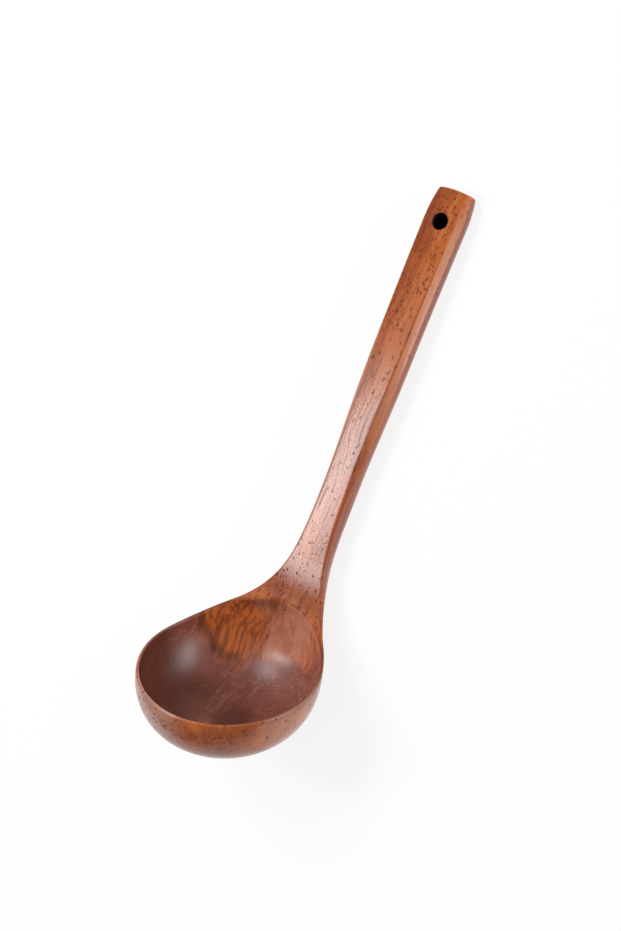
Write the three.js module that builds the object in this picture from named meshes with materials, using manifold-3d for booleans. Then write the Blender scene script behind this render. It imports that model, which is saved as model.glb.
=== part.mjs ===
// A wooden ladle lying on a table: a deep round bowl with a shoulder, and a flat handle with a
// hanging hole, glued end to end at the neck across two hidden dowels. Millimetres, +Z up.
// The ladle is carved upright, with the rim level, +X towards the handle and the rim's centre at
// zero, and is laid down at the end: it rests on the side of the bowl and on the handle's tip.
import * as THREE from 'three';
import { mergeVertices } from 'three/addons/utils/BufferGeometryUtils.js';
import Module from 'manifold-3d';

// Bowl
const RIM_RADIUS = 42.5;
const BOWL_DEPTH = 35.2;
const RIM_WALL = 2.2;
const FLOOR_WALL = 5;
const BOWL_FULLNESS = 2.2; // 2 is an ellipse, more is squarer
const BOWL_BELLY = 1.5; // the outside swells by this much half-way down
const HOLLOW_RISE = 45; // how high the hollow's sides would run on before they met
const BOTTOM_FORWARD = 4.2; // the lowest point lies this far in front of the rim's centre

// Sweep of the top line from the rim up into the handle
const SWEEP_FROM_REAR = 37.5; // the rim starts to rise this far in front of its rearmost point
const SWEEP_RADIUS = 52;
const HANDLE_SLOPE = THREE.MathUtils.degToRad(61.5);
const HANDLE_BEND = THREE.MathUtils.degToRad(5); // the handle leans back this much by its tip
const HANDLE_LENGTH = 189; // along the top line, from the end of the sweep

// Shoulder, neck and handle across the top line
const SHOULDER_FROM_REAR = 10.7; // its edges leave the rim's circle this far before the rear
const SHOULDER_THICKNESS = 16;
const SHOULDER_EASE = 3; // the more, the longer its edges take to reach the neck
const SHOULDER_TUCK = 5; // the more, the sooner its underside thins towards the neck
const SHOULDER_ROUND = 0.95; // share of its half width that rounds over into the underside
const ROOT_FROM_SWEEP = 9; // its root starts this far along the sweep, buried in the bowl's wall
const ROOT_INSET = 3; // and this far inside the rim's circle
const NECK_WIDTH = 17;
const GRIP_WIDTH = 21.4;
const GRIP_FROM_TIP = 84;
const TIP_WIDTH = 21.4;
const HANDLE_THICKNESS = 9.2;
const EDGE_ROUND = 2.2;
const EDGE_SHARE = 0.6; // at the narrow end the rounding takes at most this share of the half width
const TIP_ROUND = 4.5; // length of the rounded end
const TIP_FULLNESS = 2.4;

// Hanging hole, in a straight flat stretch of the handle
const HOLE_DIAMETER = 7.5;
const HOLE_FROM_TIP = 16;
const HANG_FLAT_LENGTH = 20;

// Neck joint
const JOINT_FROM_SWEEP = 12; // along the handle, from the end of the sweep
const GLUE_GAP = 0.3;
const DOWEL_DIAMETER = 4;
const DOWEL_LENGTH = 24;
const DOWEL_SPACING = 7.5;
const DOWEL_CHAMFER = 0.5;
const DOWEL_CLEARANCE = 0.3;

// Finish
const BOWL_COLOUR = 0x8a4a33;
const HANDLE_COLOUR = 0xb06a44;
const DOWEL_COLOUR = 0xc79a6b;
const WOOD_ROUGHNESS = 0.4;

// Fineness of the faceted surfaces
const ROUND_STEPS = 48;
const BOWL_STEPS = 14;
const HOLLOW_STEPS = 3; // above the level of the rim
const CORNER_STEPS = 4;
const BORE_STEPS = 24;
const ROOT_SECTIONS = 3;
const SHOULDER_SECTIONS = 6;
const NECK_SECTIONS = 5;
const HANDLE_SECTIONS = 6;
const TIP_SECTIONS = 5;

// Cutters and tolerances that leave no trace of their own size
const PLANING_ALLOWANCE = 1.5;
const REACH = 400;
const WELD_DISTANCE = 1e-4;
const HALVINGS = 40;

const wasm = await Module();
wasm.setup();

// Closed geometry to a solid that can be joined and cut
function toSolid(geometry) {
  const bare = geometry.index ? geometry.toNonIndexed() : geometry.clone();
  bare.deleteAttribute('normal');
  bare.deleteAttribute('uv');
  const merged = mergeVertices(bare, WELD_DISTANCE);
  return new wasm.Manifold(new wasm.Mesh({
    numProp: 3,
    vertProperties: new Float32Array(merged.attributes.position.array),
    triVerts: new Uint32Array(merged.index.array),
  }));
}

function toGeometry(solid) {
  const mesh = solid.getMesh();
  const geometry = new THREE.BufferGeometry();
  geometry.setAttribute('position', new THREE.BufferAttribute(new Float32Array(mesh.vertProperties), 3));
  geometry.setIndex(new THREE.BufferAttribute(new Uint32Array(mesh.triVerts), 1));
  geometry.computeVertexNormals();
  return geometry;
}

// Solid turned about the bowl's axis, leaning so that its bottom lies forward of the rim's centre
function turnedSolid(profile) {
  const geometry = new THREE.LatheGeometry(profile, ROUND_STEPS);
  geometry.rotateX(Math.PI / 2);
  const lean = BOTTOM_FORWARD / BOWL_DEPTH;
  geometry.applyMatrix4(new THREE.Matrix4().set(1, 0, lean, 0, 0, 1, 0, 0, 0, 0, 1, 0, 0, 0, 0, 1));
  return toSolid(geometry);
}

// Half outline of a round bowl from its lowest point up to the rim
function bowlCurve(radius, depth, belly) {
  const points = [];
  for (let step = 0; step <= BOWL_STEPS; step += 1) {
    const turn = (step / BOWL_STEPS) * (Math.PI / 2);
    const across = step === 0 ? 0 : Math.sin(turn) ** (2 / BOWL_FULLNESS);
    const down = step === BOWL_STEPS ? 0 : Math.cos(turn) ** (2 / BOWL_FULLNESS);
    points.push(new THREE.Vector2(radius * across + belly * Math.sin(2 * turn), -depth * down));
  }
  return points;
}

const sweepStart = RIM_RADIUS - SWEEP_FROM_REAR;
const sweepEnd = SWEEP_RADIUS * HANDLE_SLOPE;
const topLength = sweepEnd + HANDLE_LENGTH;
const sweepTop = new THREE.Vector2(
  sweepStart + SWEEP_RADIUS * Math.sin(HANDLE_SLOPE),
  SWEEP_RADIUS * (1 - Math.cos(HANDLE_SLOPE)),
);

// Slope of the top line at a distance along it, from the start of the sweep
function topSlope(along) {
  if (along <= sweepEnd) return along / SWEEP_RADIUS;
  return HANDLE_SLOPE - HANDLE_BEND * ((along - sweepEnd) / HANDLE_LENGTH);
}

// Point of the top line: x from front to back, y as the height above the rim
function topPoint(along) {
  if (along <= sweepEnd) {
    const turn = along / SWEEP_RADIUS;
    return new THREE.Vector2(
      sweepStart + SWEEP_RADIUS * Math.sin(turn),
      SWEEP_RADIUS * (1 - Math.cos(turn)),
    );
  }
  const bendRadius = HANDLE_LENGTH / HANDLE_BEND;
  const slope = topSlope(along);
  return new THREE.Vector2(
    sweepTop.x + bendRadius * (Math.sin(HANDLE_SLOPE) - Math.sin(slope)),
    sweepTop.y + bendRadius * (Math.cos(slope) - Math.cos(HANDLE_SLOPE)),
  );
}

// The shoulder's edges leave the rim's circle along its tangent and ease into the neck
const shoulderStart = RIM_RADIUS - SHOULDER_FROM_REAR;
const shoulderAngle = Math.asin((shoulderStart - sweepStart) / SWEEP_RADIUS);
const shoulderAlong = SWEEP_RADIUS * shoulderAngle;
const shoulderHalf = Math.sqrt(RIM_RADIUS ** 2 - shoulderStart ** 2);
const shoulderTaper = (shoulderStart / shoulderHalf) * Math.cos(shoulderAngle);
const neckAlong = shoulderAlong + (SHOULDER_EASE * (shoulderHalf - NECK_WIDTH / 2)) / shoulderTaper;
const gripAlong = topLength - GRIP_FROM_TIP;

// 1 where the shoulder leaves the rim, 0 from the neck on
function shoulderShare(along) {
  return THREE.MathUtils.clamp((neckAlong - along) / (neckAlong - shoulderAlong), 0, 1);
}

function halfWidth(along) {
  if (along < shoulderAlong) {
    const inset = ROOT_INSET * ((shoulderAlong - along) / (shoulderAlong - ROOT_FROM_SWEEP));
    return Math.sqrt(RIM_RADIUS ** 2 - topPoint(along).x ** 2) - inset;
  }
  if (along < neckAlong) {
    return NECK_WIDTH / 2 + (shoulderHalf - NECK_WIDTH / 2) * shoulderShare(along) ** SHOULDER_EASE;
  }
  const toGrip = THREE.MathUtils.smoothstep(along, neckAlong, gripAlong);
  const toTip = THREE.MathUtils.smoothstep(along, gripAlong, topLength);
  const full = (NECK_WIDTH + (GRIP_WIDTH - NECK_WIDTH) * toGrip + (TIP_WIDTH - GRIP_WIDTH) * toTip) / 2;
  const past = Math.max(0, 1 - (topLength - along) / TIP_ROUND);
  return full * (1 - past ** TIP_FULLNESS) ** (1 / TIP_FULLNESS);
}

function thickness(along) {
  const swell = SHOULDER_THICKNESS - HANDLE_THICKNESS;
  return HANDLE_THICKNESS + swell * shoulderShare(along) ** SHOULDER_TUCK;
}

// Frame of a cross-section: its middle on the top line, and the ways up the handle and out of its top
function sectionFrame(along) {
  const slope = topSlope(along);
  const point = topPoint(along);
  return {
    point: new THREE.Vector3(point.x, 0, point.y),
    forward: new THREE.Vector3(Math.cos(slope), 0, Math.sin(slope)),
    out: new THREE.Vector3(-Math.sin(slope), 0, Math.cos(slope)),
  };
}

// Closed outline of a cross-section, with room above the top line to be planed off
function section(along) {
  const half = halfWidth(along);
  const deep = thickness(along);
  const share = shoulderShare(along);
  const edgeAcross = Math.min(EDGE_ROUND, half * EDGE_SHARE);
  const roundAcross = THREE.MathUtils.lerp(edgeAcross, half * SHOULDER_ROUND, share);
  const roundDown = THREE.MathUtils.lerp(EDGE_ROUND, deep, share);
  const side = [[half, PLANING_ALLOWANCE]];
  for (let step = 0; step <= CORNER_STEPS; step += 1) {
    const turn = (step / CORNER_STEPS) * (Math.PI / 2);
    side.push([
      half - roundAcross * (1 - Math.cos(turn)),
      -(deep - roundDown * (1 - Math.sin(turn))),
    ]);
  }
  const mirrored = side.map(([across, up]) => [-across, up]).reverse();
  const { point, out } = sectionFrame(along);
  return [...side, ...mirrored].map(([across, up]) => new THREE.Vector3(
    point.x + out.x * up,
    across,
    point.z + out.z * up,
  ));
}

// Closed skin over a row of outlines with as many points each
function loft(outlines) {
  const count = outlines[0].length;
  const positions = outlines.flat().flatMap((corner) => corner.toArray());
  const triangles = [];
  for (let row = 0; row + 1 < outlines.length; row += 1) {
    for (let column = 0; column < count; column += 1) {
      const next = (column + 1) % count;
      const [a, b] = [row * count + column, row * count + next];
      const [c, d] = [a + count, b + count];
      triangles.push(a, c, b, b, c, d);
    }
  }
  const last = (outlines.length - 1) * count;
  for (let column = 1; column + 1 < count; column += 1) {
    triangles.push(0, column, column + 1);
    triangles.push(last, last + column + 1, last + column);
  }
  const geometry = new THREE.BufferGeometry();
  geometry.setAttribute('position', new THREE.Float32BufferAttribute(positions, 3));
  geometry.setIndex(triangles);
  return geometry;
}

// Evenly spaced distances from one up to, but without, the other
function spread(from, to, count) {
  const places = [];
  for (let step = 0; step < count; step += 1) {
    places.push(from + ((to - from) * step) / count);
  }
  return places;
}

// Distances along the top line of the cross-sections, with one flat stretch at the hanging hole
function stations() {
  const flatStart = topLength - HOLE_FROM_TIP - HANG_FLAT_LENGTH / 2;
  const flatEnd = topLength - HOLE_FROM_TIP + HANG_FLAT_LENGTH / 2;
  const roundedEnd = [];
  for (let step = 0; step < TIP_SECTIONS; step += 1) {
    const turn = ((step + 0.5) / TIP_SECTIONS) * (Math.PI / 2);
    roundedEnd.push(topLength - TIP_ROUND * (1 - Math.sin(turn)));
  }
  return [
    ...spread(ROOT_FROM_SWEEP, shoulderAlong, ROOT_SECTIONS),
    ...spread(shoulderAlong, sweepEnd, SHOULDER_SECTIONS),
    ...spread(sweepEnd, neckAlong, NECK_SECTIONS),
    ...spread(neckAlong, flatStart, HANDLE_SECTIONS),
    flatStart,
    flatEnd,
    ...roundedEnd,
  ];
}

// Everything above the top line, as wide as the ladle and more
function overTopLine(alongs) {
  const tip = sectionFrame(topLength);
  const beyond = tip.point.clone().addScaledVector(tip.forward, PLANING_ALLOWANCE);
  const outline = new THREE.Shape([
    new THREE.Vector2(-REACH / 2, 0),
    new THREE.Vector2(sweepStart, 0),
    ...alongs.map((along) => topPoint(along)),
    new THREE.Vector2(beyond.x, beyond.z),
    new THREE.Vector2(-REACH / 2, beyond.z),
  ]);
  const geometry = new THREE.ExtrudeGeometry(outline, { depth: REACH, bevelEnabled: false });
  geometry.translate(0, 0, -REACH / 2);
  geometry.rotateX(Math.PI / 2);
  return toSolid(geometry);
}

// Turns a shape made along +Z so that it points up the handle at a distance along the top line
function place(geometry, along, across, up, away) {
  const { point, forward, out } = sectionFrame(along);
  geometry.rotateY(Math.atan2(forward.x, forward.z));
  const at = point.addScaledVector(out, up).addScaledVector(forward, away);
  geometry.translate(at.x, across, at.z);
  return geometry;
}

function dowelShape(diameter, length, chamfer) {
  const radius = diameter / 2;
  const geometry = new THREE.LatheGeometry([
    new THREE.Vector2(0, -length / 2),
    new THREE.Vector2(radius - chamfer, -length / 2),
    new THREE.Vector2(radius, -length / 2 + chamfer),
    new THREE.Vector2(radius, length / 2 - chamfer),
    new THREE.Vector2(radius - chamfer, length / 2),
    new THREE.Vector2(0, length / 2),
  ], BORE_STEPS);
  geometry.rotateX(Math.PI / 2);
  return geometry;
}

const alongs = stations();
const jointAlong = sweepEnd + JOINT_FROM_SWEEP;
const dowelUp = -thickness(jointAlong) / 2;
const dowelSides = [DOWEL_SPACING / 2, -DOWEL_SPACING / 2];

function hangingHole() {
  const radius = HOLE_DIAMETER / 2;
  const depth = 2 * (HANDLE_THICKNESS + PLANING_ALLOWANCE);
  const hole = new THREE.CylinderGeometry(radius, radius, depth, BORE_STEPS);
  const { point, out } = sectionFrame(topLength - HOLE_FROM_TIP);
  hole.rotateX(Math.PI / 2);
  hole.rotateY(Math.atan2(out.x, out.z));
  hole.translate(point.x, point.y, point.z);
  return toSolid(hole);
}

// Blank: the bowl's outside with its wall run up, and the shoulder with the handle, planed as one
function carvedBlank() {
  const outside = turnedSolid([
    ...bowlCurve(RIM_RADIUS, BOWL_DEPTH, BOWL_BELLY),
    new THREE.Vector2(RIM_RADIUS, sweepTop.y),
    new THREE.Vector2(0, sweepTop.y),
  ]);
  const stick = toSolid(loft(alongs.map((along) => section(along))));
  return outside.add(stick).subtract(overTopLine(alongs)).subtract(hangingHole());
}

function hollow() {
  const radius = RIM_RADIUS - RIM_WALL;
  const above = [];
  for (let step = 1; step <= HOLLOW_STEPS; step += 1) {
    const height = (sweepTop.y * step) / HOLLOW_STEPS;
    above.push(new THREE.Vector2(radius * Math.sqrt(1 - (height / HOLLOW_RISE) ** 2), height));
  }
  return turnedSolid([
    ...bowlCurve(radius, BOWL_DEPTH - FLOOR_WALL, 0),
    ...above,
    new THREE.Vector2(0, sweepTop.y),
  ]);
}

// Everything past the neck joint, up or down the handle, with half the glue gap taken from each side
function pastJoint(direction) {
  const block = new THREE.BoxGeometry(REACH, REACH, REACH);
  return toSolid(place(block, jointAlong, 0, 0, direction * (REACH / 2 - GLUE_GAP / 2)));
}

function withDowelBores(solid) {
  return dowelSides.reduce((left, across) => {
    const bore = dowelShape(
      DOWEL_DIAMETER + 2 * DOWEL_CLEARANCE,
      DOWEL_LENGTH + 2 * DOWEL_CLEARANCE,
      DOWEL_CHAMFER,
    );
    return left.subtract(toSolid(place(bore, jointAlong, across, dowelUp, 0)));
  }, solid);
}

function woodPiece(name, geometry, colour) {
  const material = new THREE.MeshStandardMaterial({
    color: colour,
    roughness: WOOD_ROUGHNESS,
    metalness: 0,
  });
  const piece = new THREE.Mesh(geometry, material);
  piece.name = name;
  return piece;
}

const blank = carvedBlank();
const bowlSolid = withDowelBores(blank.subtract(hollow()).subtract(pastJoint(1)));
const handleSolid = withDowelBores(blank.subtract(pastJoint(-1)));
const bowl = woodPiece('bowl', toGeometry(bowlSolid), BOWL_COLOUR);
const handle = woodPiece('handle', toGeometry(handleSolid), HANDLE_COLOUR);
const dowels = ['neck_dowel_left', 'neck_dowel_right'].map((name, index) => {
  const shape = dowelShape(DOWEL_DIAMETER, DOWEL_LENGTH, DOWEL_CHAMFER);
  return woodPiece(name, place(shape, jointAlong, dowelSides[index], dowelUp, 0), DOWEL_COLOUR);
});

// Box of a piece after the ladle is tipped about Y
function tippedBox(piece, tip) {
  const turned = piece.geometry.clone().rotateY(tip);
  turned.computeBoundingBox();
  return turned.boundingBox;
}

// Angle at which the bowl's side and the handle's tip touch the table together
function lyingAngle() {
  let [low, high] = [0, Math.PI / 2];
  for (let step = 0; step < HALVINGS; step += 1) {
    const middle = (low + high) / 2;
    if (tippedBox(handle, middle).min.z > tippedBox(bowl, middle).min.z) low = middle;
    else high = middle;
  }
  return low;
}

const tip = lyingAngle();
const lying = tippedBox(bowl, tip).union(tippedBox(handle, tip));
const ladle = new THREE.Group();
ladle.add(bowl, handle, ...dowels);
ladle.rotation.y = tip;
ladle.position.set(-(lying.min.x + lying.max.x) / 2, 0, -lying.min.z);

export default ladle;
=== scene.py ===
# Looks of a lacquered wooden ladle that lies on a table, modelled in the frame of its solids
import math

import bmesh
import bpy
from bpy.props import FloatProperty, FloatVectorProperty, PointerProperty
from mathutils import Matrix, Vector


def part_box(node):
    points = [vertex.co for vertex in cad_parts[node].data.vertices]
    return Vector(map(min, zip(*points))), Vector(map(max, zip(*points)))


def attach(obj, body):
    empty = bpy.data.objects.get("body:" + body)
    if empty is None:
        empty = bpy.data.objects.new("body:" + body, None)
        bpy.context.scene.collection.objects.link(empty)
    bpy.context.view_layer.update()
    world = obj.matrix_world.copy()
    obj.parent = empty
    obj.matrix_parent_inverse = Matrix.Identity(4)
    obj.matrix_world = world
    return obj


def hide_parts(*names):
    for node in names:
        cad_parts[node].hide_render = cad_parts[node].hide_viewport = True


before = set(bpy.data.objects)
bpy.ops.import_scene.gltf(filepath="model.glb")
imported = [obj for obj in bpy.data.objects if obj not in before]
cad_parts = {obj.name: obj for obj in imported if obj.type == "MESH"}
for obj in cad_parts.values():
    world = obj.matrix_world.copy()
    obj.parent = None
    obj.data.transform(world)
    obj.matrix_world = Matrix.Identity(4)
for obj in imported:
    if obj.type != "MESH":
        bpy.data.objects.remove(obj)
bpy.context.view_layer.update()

bl_info = {
    "name": "Wooden Ladle",
    "version": (1, 0, 0),
    "blender": (4, 5, 0),
    "location": "View3D > Sidebar > Ladle",
    "description": "Models a lacquered wooden ladle with a hanging hole, and its studio",
    "category": "Add Mesh",
}

MM = 0.001

# Camera, softboxes and floor. Each softbox has its name, the way to it from the middle of the frame,
# and its width and height in metres
IMAGE_HEIGHT = 931          # of the picture that the camera frames, in pixels
SENSOR_LONG_SIDE = 36.0     # in millimetres
SOFTBOX_COLOUR = (0.93, 0.97, 1.0)
SOFTBOX_DISTANCE = 1.0      # from the middle of the frame, in metres
SOFTBOXES = (
    ("key", (-0.125, 0.53, 0.835), 0.22, 0.40),
    ("side", (0.42, -0.89, 0.15), 0.85, 0.34),
    ("rear", (0.30, 0.43, 0.85), 0.24, 0.34),
)
FLOOR_REACH = 2.0           # from the floor's middle to its sides, in metres
FLOOR_ROUGHNESS = 0.9
FLOOR_GLOW = 0.85           # how much of the floor the camera sees as plain white
# Painted shadow on the floor under the hanging hole
HOLE_SHADE = 1.2 * MM       # how far the floor is black past the hole's rim, and then how far it fades
WHITE = (1.0, 1.0, 1.0)
BLACK = (0.0, 0.0, 0.0)

# Fineness of the carved skin, before it is subdivided
WINDOW_COLUMNS = 6          # from the middle of the bowl's rear to the edge of the shoulder
WALL_COLUMNS = 40           # round the rest of the bowl
HANDLE_RINGS = 12           # from the end of the shoulder to the rings by the hole
HOLE_COLUMNS = 3            # from the middle of the handle to the edge of the hole's square
SKIN_LEVELS = 2
BORE_SIDES = 32
DOWEL_FLUTES = 12
FLUTE_CORNERS = 4           # of a flute and the ridge beside it, half of them in the flute
LIFT_ROUNDS = 8             # in which a point of the wall settles on the rising top line
LINE_STEP = 0.5 * MM        # of the points that the top line is laid out by
MERGE_REACH = 0.001 * MM    # within which two corners are one
SHARP_ANGLE = math.radians(50.0)    # past which an edge of a piece is left sharp

# Rows of the bowl's wall from its lowest point upwards: how far up its curve each lies, in
# degrees, and how far its columns are drawn in under the shoulder
WALL_ROWS = (
    (0.0, 0.0), (12.0, 0.0), (24.0, 0.0), (36.0, 0.05), (48.0, 0.14), (60.0, 0.28), (70.0, 0.42),
    (78.6, 0.5), (81.0, 0.38), (84.0, 0.24), (87.0, 0.12),
)
RIM_GATHER = 0.04           # how far the row at the rim's outer edge is drawn in
GATHER_FADE = 0.35          # share of the wall beside the shoulder over which that fades
SHOULDER_ROW = 7            # the lowest row that the shoulder springs from
CROWN_ROW = len(WALL_ROWS) + 2      # the middle of the rim's top
SHOULDER_LEVELS = CROWN_ROW - SHOULDER_ROW
SQUARE = 0.29               # share of a rounding that its middle stands in from the corner
RIM_ROWS = ((1.0, 0.0), (SQUARE, SQUARE), (0.0, 1.0))

# Rows of the handle's cross-section from its top down its side: how far each stands in from the
# widest place, as a share of the edges' rounding, and how deep it lies, as a share of the thickness
SIDE_ROWS = (
    (1.0, 0.0), (0.62, 0.05), (0.22, 0.22), (0.0, 0.50), (0.12, 0.78), (0.45, 0.95), (1.0, 1.0),
)

# The shoulder's underside: angles, in degrees, of the same rows below the rim's rounding
SHOULDER_TURNS = (18.0, 32.0, 43.0, 52.0)

# Rings of the shoulder: share of the way from the rim's crown to the end of the shoulder
SHOULDER_RINGS = (0.12, 0.28, 0.46, 0.64, 0.82)
SHOULDER_END = 64.0 * MM

# Rings of the handle by its hole, in radii of the hole from its centre
HOLE_RINGS = (-4.0, -2.2, -1.0, 0.0, 1.0, 2.2)

# Rings of the tip, by their distance before its end; how much its corners are cut, and how much
# each row of the end is set back by its rounded edges
TIP_RINGS = (4.0 * MM, 1.4 * MM, 0.0)
TIP_CORNER_CUT = 0.1 * MM
END_SETBACKS = (1.0, SQUARE, 0.0, 0.0, 0.0, SQUARE, 1.0)

# Grain: cells per metre along and across the fibres, and detail where it isn't the usual one;
# then each pattern's share in the tone, and the tones at which the wood is dark, red and pale
BANDS = (8.0, 95.0)
STREAKS = (24.0, 430.0, 3.0)
FIBRES = (150.0, 2400.0)
DOWEL_FIBRES = (120.0, 2200.0)
RAGGED = (40.0, 160.0, 3.0)
BAND_SHARE = 0.45
STREAK_SHARE = 0.33
FIBRE_SHARE = 0.22
GRAIN_TONES = (0.36, 0.47, 0.60)
HOLLOW_TONES = (0.34, 0.43, 0.53)
AMBER_TONES = (0.38, 0.54)      # dark and amber
NOISE_MIDDLE = (0.5, 0.5, 0.5)

# Wandering of the grain and curl of the flecks: cells per metre, and how far they reach in metres
GRAIN_WANDER = (24.0, (0.0, 0.010, 0.010))
FLECK_CURL = (420.0, (0.0034, 0.0026, 0.0026))
ROW_CURL = (420.0, (0.0012, 0.0012, 0.0016))

# Patterns of marks: cells per metre along and across, detail, and the noise at which a mark starts
# and is full
LINE_PATTERN = (22.0, 900.0, 2.0, 0.54, 0.66)
FLAME_PATTERN = (20.0, 520.0, 2.0, 0.46, 0.60)
SCRAPED_PATCHES = (50.0, 80.0, 2.0, 0.40, 0.62)
RAY_PATTERN = (80.0, 700.0, 2.0, 0.48, 0.66)
RING_PATTERN = (80.0, 700.0, 2.0, 0.50, 0.68)
DULL_PATTERN = (30.0, 70.0, 3.0, 0.30, 0.62)
SCRAPER_TURN = (0.0, 0.0, 1.4)      # turn of the rings against the rays, in radians

# Flecks: cells per metre along each axis, and the distances in a cell at which one ends and is full
FLECK_CELLS = (300.0, 800.0, 800.0)
ROW_CELLS = (600.0, 260.0, 700.0)
FLECK_EDGE = (0.42, 0.22)

# Patches on the lying ladle, in millimetres: the middle, the distance at which a patch has faded
# out and the distance within which it is full
# Pale wood at the hollow's rear with a painted soft reflection over it
REAR_PALE_AND_SHEEN_PATCH = ((-80, -3, 7), 22, 6)
FLAMED_PATCH = ((-88, 26, 14), 24, 12)
HEART_BULGE = ((-100, -4, 5), 22, 8)
# Painted shade at the hollow's bottom, under the front rim
BOTTOM_SHADE_PATCH = ((-125, -2, 25), 15, 4)
# Painted light on the bowl's front left
FRONT_LEFT_LIGHT_PATCH = ((-125, 12, 73), 26, 8)
BURNT_PATCH = ((-115, -33, 64), 11, 3)

# Spans on the lying ladle, in millimetres: an axis, where a mark starts and where it is full
TIP_LEFT = ("Y", -4, 9)
TIP_END = ("X", 60, 120)
HEART_FAR_LEFT = ("Y", 12, 28)
HEART_SIDE = ("Y", -44, -24)
DEEP_LEFT = ("Y", -2, 26)
DEEP_RIGHT = ("Y", -12, -28)
LIP_RIGHT = ("Y", 4, -6)
LIP_LEFT = ("Y", -4, 10)
BOWL_OUTSIDE = ("X", -72, -88)
# Painted reflection of the white floor low on the bowl's right
RIGHT_FLOOR_REFLECTION = ("Y", -33, -42)
HANDLE_SIDES = ("X", -75, -45)
HOLLOW_FRONT = ("X", -108, -122)

# Spans from the level rim's middle, in the same way
LIP = ("Z", 3, 9)
CROWN = ("Z", -4, -1)
CROWN_FRONT = ("X", -28, -12)
CROWN_REAR = ("X", 38, 30)
ROW_TOP = ("Z", -5, -7)
ROW_FOOT = ("Z", -13, -10)
ROW_FRONT = ("X", -20, -32)

# Heartwood: how its layer slants, how far it is moved in places, in metres, and the depths in
# millimetres at which it and its border start and are full
HEART_SLANT = 1.3
HEART_RIGHT = -0.6
HEART_BULGE_RISE = 0.014
HEART_LEFT_FALL = -0.007
RAGGED_REACH = 0.016
HEART_EDGE = (118, 130)
HEART_DEEP = (130, 160)
BORDER_START = (114, 120)
BORDER_END = (127, 121)

# The hollow: share of its rise above the rim that still counts, and where its wall's mask ends and
# is full, as a share of its size
HOLLOW_TOP = 0.9
HOLLOW_EDGE = (1.022, 1.004)

# Ways that a face looks, as parts of its normal: where a mark starts and where it is full
SIDE_FACING = (0.84, 0.97)
UP_FACING = (0.0, 0.2)
RIGHT_EDGE_FACING = (-0.28, -0.46)
RIGHT_SIDE_FACING = (-0.95, -0.86)
LEFT_EDGE_FACING = (0.10, 0.24)
DULL_FACING = (-0.96, -0.88)

# Zones along the lying ladle: places on X in millimetres, each with the strength of a mark there
LINE_ZONE = ((-140, 0.0), (-45, 0.1), (-25, 0.9), (45, 0.8), (65, 0.1), (140, 0.1))
# Darker shoulder: partly its flecked brown wood, partly painted shade where its sheen fades
SHOULDER_STAIN_AND_SHADE_ZONE = ((-72, 0.0), (-62, 0.36), (-54, 0.3), (-46, 0.0))
FLECK_ZONE = (
    (-140, 0.25), (-118, 0.15), (-85, 0.25), (-60, 0.55), (-30, 0.2), (30, 0.12), (55, 0.3),
    (80, 0.75), (140, 0.75),
)
# Strength of the painted shade on the handle's sides
SIDE_SHADE_ZONE = ((-60, 0.6), (40, 0.6), (90, 0.95), (140, 0.95))
# Strength of the painted reflection along the handle's right edge
RIGHT_EDGE_LIGHT_ZONE = ((-60, 0.0), (10, 0.1), (50, 0.55), (85, 0.8), (118, 0.7), (137, 0.1))
# Strength of the painted shade on the right edge's facets, lower down the handle
RIGHT_EDGE_SHADE_ZONE = ((-70, 0.0), (-50, 0.3), (-15, 0.65), (15, 0.35), (45, 0.1), (60, 0.0))
# Strength of the painted light on the handle's left edge
LEFT_EDGE_LIGHT_ZONE = ((-60, 0.0), (-45, 0.7), (45, 0.7), (70, 0.0))
DULL_ZONE = (
    (-92, 0.0), (-78, 0.65), (-64, 0.74), (-56, 0.6), (-45, 0.0), (55, 0.0), (85, 0.6),
    (105, 0.8), (140, 0.8),
)

# Strengths of the tints, as shares
REDDER = 0.45
PALER = 0.7
# Strength of the pale rear wood with its painted soft reflection
PALEST_AND_SHEEN = 0.5
FLAME_SHARE = 0.55
AMBER_SHARE = 0.9
RING_SHARE = 0.8
SCRAPED_SHARE = 0.42
SCRAPED_LEAST = 0.03
# The darker heartwood at the left is partly painted shade on the hollow's left wall
DEEP_LEFT_DARK_AND_SHADE_SHARE = 0.9
DEEP_RIGHT_SHARE = 0.5
HEART_SHARE = 0.85
HEART_GAIN = 0.12           # added where the heartwood is deepest
BORDER_SHARE = 0.65
# Strengths of the painted reflection under the lip and of the painted shade under it, at the bottom and
# on the crown
LIP_PAINTED_REFLECTION = 0.4
LIP_PAINTED_SHADE = 0.45
BOTTOM_PAINTED_SHADE = 0.65
CROWN_PAINTED_SHADE = 0.6
DULL_SHARE = 0.25
DULL_LEAST = 0.12
# Strengths of the painted light at the front left and the painted floor reflection at the right
FRONT_LEFT_LIGHT_SHARE = 0.85
RIGHT_FLOOR_REFLECTION_SHARE = 0.45
BURNT_SHARE = 0.55
HOLLOW_FEWER = 0.9          # share of the flecks that the hollow lacks
ROW_CHANCE = 0.6
FLECK_SHARE = 0.7
BORE_SHADE = 0.93
DOWEL_SHADE = 0.6           # of the dowels' darker fibres

# Relief of the grain, roughness of the bare dowels, and lacquer that is lost in places
GRAIN_STRENGTH = 0.35
DOWEL_ROUGHNESS = 0.7
PORE_THIN = 0.5             # over lines and flecks
FRONT_DULL = 0.3            # at the hollow's front


def size(name, description, millimetres):
    """A length that a user can change, given in millimetres"""
    return FloatProperty(name=name, description=description, default=millimetres * MM,
                         min=0.0, unit='LENGTH')


def shift(name, description, millimetres):
    """A distance to either side that a user can change, given in millimetres"""
    return FloatProperty(name=name, description=description, default=millimetres * MM,
                         unit='LENGTH')


def angle(name, description, degrees):
    """An angle that a user can change, given in degrees"""
    return FloatProperty(name=name, description=description, default=math.radians(degrees),
                         subtype='ANGLE')


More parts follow.
